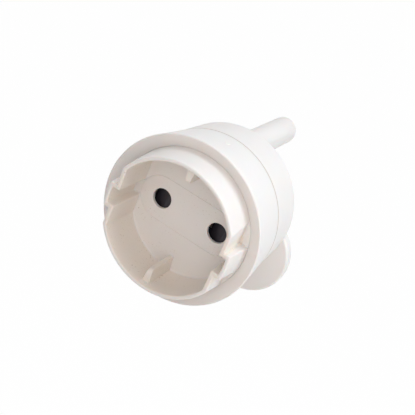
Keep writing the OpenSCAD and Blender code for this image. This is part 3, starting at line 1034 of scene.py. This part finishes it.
@dataclass
class RearHousing:
    """Rear shell with two finger lobes, pin seats, screw holes and the moulded earth pin."""

    rear_r: float = 22.5
    rear_round: float = 3.0
    seam_r: float = 23.1
    seam: float = 15.9
    seam_bevel: float = 0.15
    spigot_r: float = 21.6
    spigot: float = 18.3
    cavity_r: float = 20.3
    cavity_round: float = 0.5
    base_t: float = 2.6
    edge: float = 0.15
    lobe_at: tuple[float, float] = (13.8, -11.5)
    lobe_r: float = 13.5
    lobe_t: float = 3.6
    lobe_round: float = 0.6
    lobe_proud: float = 0.03
    earth_z: float = 17.1
    earth_r: float = 4.35
    earth_l: float = 28.6
    tip_round: float = 1.6
    core_r: float = 2.3
    core_end: float = -24.7
    pin_at: tuple[float, float] = (12.7, -11.5)
    seat_r: float = 3.95
    pocket_r: float = 4.55
    pocket_end: float = 6.5
    screw_at: tuple[float, float] = (10.67, 12.716)
    counterbore_r: float = 2.76
    counterbore: float = 1.4
    screw_r: float = 1.51
    boss_r: float = 2.7
    boss: float = 6.0
    sleeve_at: tuple[float, float] = (9.5, 0.0)
    sleeve_r: float = 3.05
    sleeve: float = 4.2

    def shell_profile(self) -> np.ndarray:
        """Half section of the shell: plug face, rounded edge, wall, seam, spigot and cavity.

        Returns:
            Radius and depth of each point.
        """
        return outline([
            (0, 0, 0),
            (self.rear_r, 0, self.rear_round),
            (self.seam_r, self.seam - self.seam_bevel, self.edge / 2),
            (self.seam_r - self.seam_bevel, self.seam, self.edge / 4),
            (self.spigot_r, self.seam, self.edge / 2),
            (self.spigot_r, self.spigot, self.edge),
            (self.cavity_r, self.spigot, self.edge),
            (self.cavity_r, self.base_t, self.cavity_round),
            (0, self.base_t, 0),
        ])

    def lobe(self, side: int) -> Patch:
        """One finger lobe: a turned disc with rounded edges, a hair proud of the plug face.

        Args:
            side: 1 for the lobe on the right, -1 for the one on the left.

        Returns:
            The closed surface.
        """
        low, high = -self.lobe_proud, self.lobe_t
        profile = outline([(0, low, 0), (self.lobe_r, low, self.lobe_round),
                           (self.lobe_r, high, self.lobe_round), (0, high, 0)])
        return lathe(profile, on_side(self.lobe_at, side))

    def earth_pin(self) -> Patch:
        """Earth pin: a turned rod with a rounded tip, its foot sunk into the base.

        Returns:
            The closed surface.
        """
        foot = self.base_t - FOOT_SINK
        profile = outline([(0, -self.earth_l, 0), (self.earth_r, -self.earth_l, self.tip_round),
                           (self.earth_r, foot, 0), (0, foot, 0)])
        return lathe(profile, (0, self.earth_z), steps=PIN_TURN)

    def bore(
        self, centre: tuple[float, float], steps: Sequence[tuple[float, float, float]]
    ) -> Patch:
        """Stepped cutter about one axis: a turned profile that goes from wall to wall.

        Args:
            centre: Place of the axis in x and z.
            steps: Radius, start and end depth of each step, in order of depth.

        Returns:
            The closed surface.
        """
        walls = [point for r, start, end in steps for point in ((r, start), (r, end))]
        profile = np.array([(0, steps[0][1]), *walls, (0, steps[-1][2])])
        return lathe(profile, centre, steps=SMALL_TURN)

    def boss_on(self, centre: tuple[float, float], radius: float, end: float) -> Patch:
        """Plain turned boss that stands on the inside of the base.

        Args:
            centre: Place of the axis in x and z.
            radius: Its radius.
            end: Depth at which it ends.

        Returns:
            The closed surface.
        """
        foot = self.base_t - FOOT_SINK
        profile = outline([(0, foot, 0), (radius, foot, 0), (radius, end, self.edge), (0, end, 0)])
        return lathe(profile, centre, steps=SMALL_TURN)

    def build(self, material: bpy.types.Material) -> None:
        """Merges shell, lobes, bosses and earth pin, cuts seats and bores, installs the piece.

        Args:
            material: Its finish.
        """
        piece = new_piece("rear_housing_shell", lathe(self.shell_profile()))
        inside = self.base_t + CLEAR
        for side in (-1, 1):
            pin, screw = on_side(self.pin_at, side), on_side(self.screw_at, side)
            sleeve = on_side(self.sleeve_at, side)
            screw_steps = [(self.counterbore_r, -CLEAR, self.counterbore),
                           (self.screw_r, self.counterbore, self.boss + CLEAR)]
            for patch, way in (
                (self.lobe(side), Merge.ADD),
                (self.boss_on(screw, self.boss_r, self.boss), Merge.ADD),
                (self.boss_on(sleeve, self.sleeve_r, self.sleeve), Merge.ADD),
                (self.bore(pin, [(self.pocket_r, self.base_t, self.pocket_end)]), Merge.CUT),
                (self.bore(pin, [(self.seat_r, -CLEAR, inside)]), Merge.CUT),
                (self.bore(screw, screw_steps), Merge.CUT),
            ):
                merge(piece, patch, way)
        merge(piece, self.earth_pin(), Merge.ADD)
        core = self.bore((0, self.earth_z), [(self.core_r, self.core_end, inside)])
        merge(piece, core, Merge.CUT)
        install(piece, "rear_housing", material)


@dataclass
class PowerPin:
    """Turned power pin with its seat, shoulder, tail and rivet head."""

    at: tuple[float, float] = (12.7, -11.5)
    radius: float = 3.525
    length: float = 18.6
    tip_round: float = 1.6
    seat_r: float = 3.9
    base_t: float = 2.6
    shoulder_r: float = 4.4
    shoulder: float = 4.2
    tail_r: float = 1.6
    strip: float = 5.0
    rivet_r: float = 2.6
    rivet: float = 5.9
    rivet_round: float = 0.6
    edge: float = 0.12
    corner: float = 0.05

    def profile(self) -> np.ndarray:
        """Half section from the tip to the rivet head.

        Returns:
            Radius and depth of each point.
        """
        return outline([
            (0, -self.length, 0),
            (self.radius, -self.length, self.tip_round),
            (self.radius, 0, self.corner),
            (self.seat_r, 0, self.edge),
            (self.seat_r, self.base_t, self.corner),
            (self.shoulder_r, self.base_t, self.edge),
            (self.shoulder_r, self.shoulder, self.edge),
            (self.tail_r, self.shoulder, self.corner),
            (self.tail_r, self.strip, self.corner),
            (self.rivet_r, self.strip, self.edge),
            (self.rivet_r, self.rivet, self.rivet_round),
            (0, self.rivet, 0),
        ])

    def build(self, name: str, side: int, material: bpy.types.Material) -> None:
        """Turns the pin and installs it.

        Args:
            name: Name of the solid that it stands for.
            side: 1 for the live pin, -1 for the neutral pin.
            material: Its finish.
        """
        turned = lathe(self.profile(), on_side(self.at, side), steps=PIN_TURN)
        install(new_piece(f"{name}_turned", turned), name, material)


@dataclass
class HousingScrews:
    """Two screws with domed heads and cross recesses, sunk in the plug face."""

    at: tuple[float, float] = (10.67, 12.716)
    head_r: float = 2.7
    head_top: float = 0.2
    head_back: float = 1.4
    head_round: float = 0.35
    head_edge: float = 0.08
    shank_r: float = 1.45
    shank_round: float = 0.2
    end: float = 15.39
    end_r: float = 0.4
    point: float = 1.6
    edge: float = 0.1
    cross_half: float = 1.5
    cross_w: float = 0.7
    cross_end: float = 1.0

    def screw(self, side: int) -> Patch:
        """One screw without its recess: a turned head and a shank with a blunt point.

        Args:
            side: 1 for the screw on the right, -1 for the one on the left.

        Returns:
            The closed surface.
        """
        profile = outline([
            (0, self.head_top, 0),
            (self.head_r, self.head_top, self.head_round),
            (self.head_r, self.head_back, self.head_edge),
            (self.shank_r, self.head_back, self.edge),
            (self.shank_r, self.end - self.point, self.shank_round),
            (self.end_r, self.end, self.edge),
            (0, self.end, 0),
        ])
        return lathe(profile, on_side(self.at, side), steps=SMALL_TURN)

    def recess(self, side: int, lengthwise: bool) -> Patch:
        """One bar of the cross recess in a head.

        Args:
            side: 1 for the screw on the right, -1 for the one on the left.
            lengthwise: Whether the bar lies along x, else along z.

        Returns:
            The closed surface.
        """
        half = np.array([self.cross_half, self.cross_w / 2])
        half = half if lengthwise else half[::-1]
        x, z = on_side(self.at, side)
        return block((x - half[0], self.head_top - CLEAR, z - half[1]),
                     (x + half[0], self.cross_end, z + half[1]), self.edge)

    def build(self, material: bpy.types.Material) -> None:
        """Turns both screws into one piece, cuts the cross recesses and installs it.

        Args:
            material: Its finish.
        """
        piece = new_piece("housing_screws_turned", self.screw(1))
        merge(piece, self.screw(-1), Merge.ADD)
        for side in (-1, 1):
            for lengthwise in (True, False):
                merge(piece, self.recess(side, lengthwise), Merge.CUT)
        install(piece, "housing_screws", material)


@dataclass
class ReturnSpring:
    """Coil between the shutter's lug and its post, which shortens as the shutter slides."""

    lug_x: float = -11.58
    post_x: float = 1.58
    # Height and depth of the coil's axis
    at: tuple[float, float] = (7.275, 21.75)
    coil_r: float = 1.45
    wire_r: float = 0.175
    turns: int = 9
    turn_steps: int = 36
    wire_sides: int = 12
    joint: str = "shutter_slide"
    travel: float = 6.2

    def coil(self) -> Patch:
        """Round wire swept along a helix whose axis lies along x.

        A point is x = along + wire * sin(side), and z and depth are those of the axis plus
        (coil + wire * cos(side)) times the cosine and the sine of the turn.

        Returns:
            The closed surface.
        """
        steps = self.turns * self.turn_steps + 1
        turn = np.linspace(0, 2 * math.pi * self.turns, steps)[:, None]
        side = np.linspace(0, 2 * math.pi, self.wire_sides, endpoint=False)[None]
        first, last = self.lug_x + self.wire_r, self.post_x - self.wire_r
        out = self.coil_r + self.wire_r * np.cos(side)
        x = first + (last - first) * turn / turn[-1] + self.wire_r * np.sin(side)
        z = self.at[0] + out * np.cos(turn)
        depth = self.at[1] + out * np.sin(turn)
        return loft(np.stack([x, -depth, z], axis=-1))

    def build(self, material: bpy.types.Material) -> None:
        """Makes the coil, installs it and gives it a mesh of its own.

        Args:
            material: Its finish.
        """
        piece = new_piece("shutter_spring_coil", self.coil())
        install(piece, "shutter_spring", material)
        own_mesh(piece)


@dataclass(frozen=True)
class Viewpoint:
    """Camera of the photograph's view, in millimetres in the part's frame."""

    place: tuple[float, float, float] = (60.525, -198.295, 96.865)
    target: tuple[float, float, float] = (5.013, -28.5, 6.932)
    roll_deg: float = 23.84
    lens_mm: float = 64.05
    sensor_mm: float = 36.0
    nearest: float = 10.0
    farthest: float = 50000.0

    def build(self) -> None:
        """Makes the camera: it looks at the target, then rolls about its own axis."""
        data = bpy.data.cameras.new("photo_camera")
        data.lens = self.lens_mm
        data.sensor_width = self.sensor_mm
        data.clip_start = self.nearest * MM
        data.clip_end = self.farthest * MM
        place, target = Vector(self.place) * MM, Vector(self.target) * MM
        back = (place - target).normalized()
        level = Vector((0, 0, 1)).cross(back).normalized()
        roll = Matrix.Rotation(math.radians(self.roll_deg), 3, back)
        axes = Matrix((roll @ level, roll @ back.cross(level), back)).transposed()
        camera = bpy.data.objects.new("photo_camera", data)
        camera.matrix_world = Matrix.Translation(place) @ axes.to_4x4()
        bpy.context.scene.collection.objects.link(camera)
        bpy.context.scene.camera = camera


@dataclass(frozen=True)
class Glow:
    """Soft bright side of the room, whose light falls off with the angle from its middle."""

    towards: tuple[float, float, float]
    colour: str
    strength: float
    sharpness: float


@dataclass(frozen=True)
class SoftBox:
    """Square lamp close to the part, so that its light falls off across it."""

    name: str
    place: tuple[float, float, float]
    size: float
    power: float
    colour: str

    def build(self) -> None:
        """Makes the lamp at its place, facing the middle of the part."""
        data = bpy.data.lights.new(self.name, "AREA")
        data.size = self.size * MM
        data.energy = self.power
        data.color = linear(self.colour)[:3]
        lamp = bpy.data.objects.new(self.name, data)
        lamp.location = Vector(self.place) * MM
        way = lamp.location - (CAD_BOX[0] + CAD_BOX[1]) / 2
        lamp.rotation_euler = way.to_track_quat("Z", "Y").to_euler()
        bpy.context.scene.collection.objects.link(lamp)


@dataclass
class Studio:
    """White floor, a pale room with a soft bright side, and soft lamps close to the part."""

    floor_z: float = -160.0
    floor_half: float = 3000.0
    floor_steps: int = 9
    floor_colour: str = "#fbfaf9"
    floor_roughness: float = 0.9
    # Share of the floor that is plain white to the eye; the rest shows the part's shadow
    floor_white: float = 0.985
    room_colour: str = WHITE
    room_strength: float = 0.38
    glows: tuple[Glow, ...] = (
        Glow((-0.5, 0.8, 0.3), "#fdfdff", 0.5, 2.0),
    )
    lamps: tuple[SoftBox, ...] = (
        SoftBox("key_lamp", (140.0, -25.0, 175.0), 90.0, 0.1, "#e6f3ff"),
        SoftBox("top_lamp", (10.0, 0.0, 210.0), 90.0, 0.11, "#edf7ff"),
        SoftBox("side_lamp", (210.0, -30.0, 50.0), 90.0, 0.128, "#edf7ff"),
        SoftBox("front_lamp", (30.0, -160.0, 125.0), 110.0, 0.075, "#fafbff"),
        SoftBox("fill_lamp", (80.0, -205.0, 50.0), 110.0, 0.065, "#fff4ee"),
        SoftBox("right_lamp", (190.0, -130.0, 0.0), 110.0, 0.018, "#fff6f0"),
    )

    def floor(self) -> None:
        """Pale floor: white to the eye, yet still shaded where the part keeps the light off."""
        steps = np.linspace(-self.floor_half, self.floor_half, self.floor_steps)
        x, y = np.meshgrid(steps, steps)
        points = np.stack([x, y, np.full_like(x, self.floor_z)], axis=-1).reshape(-1, 3)
        quads = grid_quads(self.floor_steps, self.floor_steps, False, False)
        piece = new_piece("floor", Patch(points, quads))
        made, tree, shader = new_material("white_sweep")
        shader.inputs["Base Color"].default_value = linear(self.floor_colour)
        shader.inputs["Roughness"].default_value = self.floor_roughness
        glow = add_node(tree, "ShaderNodeEmission", {"Color": linear(WHITE), "Strength": 1.0})
        share = add_node(tree, "ShaderNodeMath", {"operation": "MULTIPLY", 1: self.floor_white},
                         {0: seen_rays(tree)})
        mixed = add_node(tree, "ShaderNodeMixShader", None, {
            0: share.outputs[0], 1: shader.outputs["BSDF"], 2: glow.outputs["Emission"],
        })
        tree.links.new(mixed.outputs[0], tree.nodes["Material Output"].inputs["Surface"])
        dress(piece, made)

    def room(self) -> None:
        """World: an even pale light plus the bright sides, and plain white where it is seen.

        A side adds colour * strength * max(0, cosine of the angle from its middle) ** sharpness.
        """
        world = bpy.data.worlds.new("pale_room")
        bpy.context.scene.world = world
        world.use_nodes = True
        tree = world.node_tree
        tree.nodes.clear()
        way = add_node(tree, "ShaderNodeTexCoord").outputs["Generated"]
        even = np.array(linear(self.room_colour)[:3]) * self.room_strength
        light = add_node(tree, "ShaderNodeVectorMath", {"operation": "ADD", 0: even})
        for glow in self.glows:
            middle = Vector(glow.towards).normalized()
            facing = add_node(tree, "ShaderNodeVectorMath",
                              {"operation": "DOT_PRODUCT", 1: middle}, {0: way})
            near = add_node(tree, "ShaderNodeMath", {"operation": "MAXIMUM", 1: 0.0},
                            {0: facing.outputs["Value"]})
            fall = add_node(tree, "ShaderNodeMath", {"operation": "POWER", 1: glow.sharpness},
                            {0: near.outputs[0]})
            tint = np.array(linear(glow.colour)[:3]) * glow.strength
            light = add_node(tree, "ShaderNodeVectorMath", {"operation": "MULTIPLY_ADD", 0: tint},
                             {1: fall.outputs[0], 2: light.outputs["Vector"]})
        lit = add_node(tree, "ShaderNodeBackground", {"Strength": 1.0},
                       {"Color": light.outputs["Vector"]})
        plain = add_node(tree, "ShaderNodeBackground", {"Color": linear(WHITE), "Strength": 1.0})
        mixed = add_node(tree, "ShaderNodeMixShader", None,
                         {0: seen_rays(tree), 1: lit.outputs[0], 2: plain.outputs[0]})
        add_node(tree, "ShaderNodeOutputWorld", None, {"Surface": mixed.outputs[0]})

    def build(self) -> None:
        """Makes the floor, the room and the lamps."""
        self.floor()
        self.room()
        for lamp in self.lamps:
            lamp.build()


def dress_solids() -> None:
    """Gives each solid that still shows its finish."""
    finishes = {
        "contact_carrier": INSULATOR, "shutter": BLACK_NYLON,
        "live_contact": BRONZE, "neutral_contact": BRONZE,
    }
    made = {finish: finish.material() for finish in dict.fromkeys(finishes.values())}
    for node, finish in finishes.items():
        dress(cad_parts[node], made[finish])
        LOG.info("%s: dressed as %s", node, finish.name)


def main() -> None:
    """Builds every piece, the camera and the studio."""
    logging.basicConfig(level=logging.INFO, format="%(message)s")
    shell = WHITE_ABS.material()
    nickel = NICKEL.material()
    zinc = ZINC.material()
    FrontHousing().build(shell)
    SocketInsert().build(shell)
    RearHousing().build(shell)
    PowerPin().build("live_pin", 1, nickel)
    PowerPin().build("neutral_pin", -1, nickel)
    HousingScrews().build(zinc)
    ReturnSpring().build(zinc)
    dress_solids()
    Viewpoint().build()
    Studio().build()
    bpy.context.scene.view_settings.view_transform = "Standard"


if __name__ == "__main__":
    main()
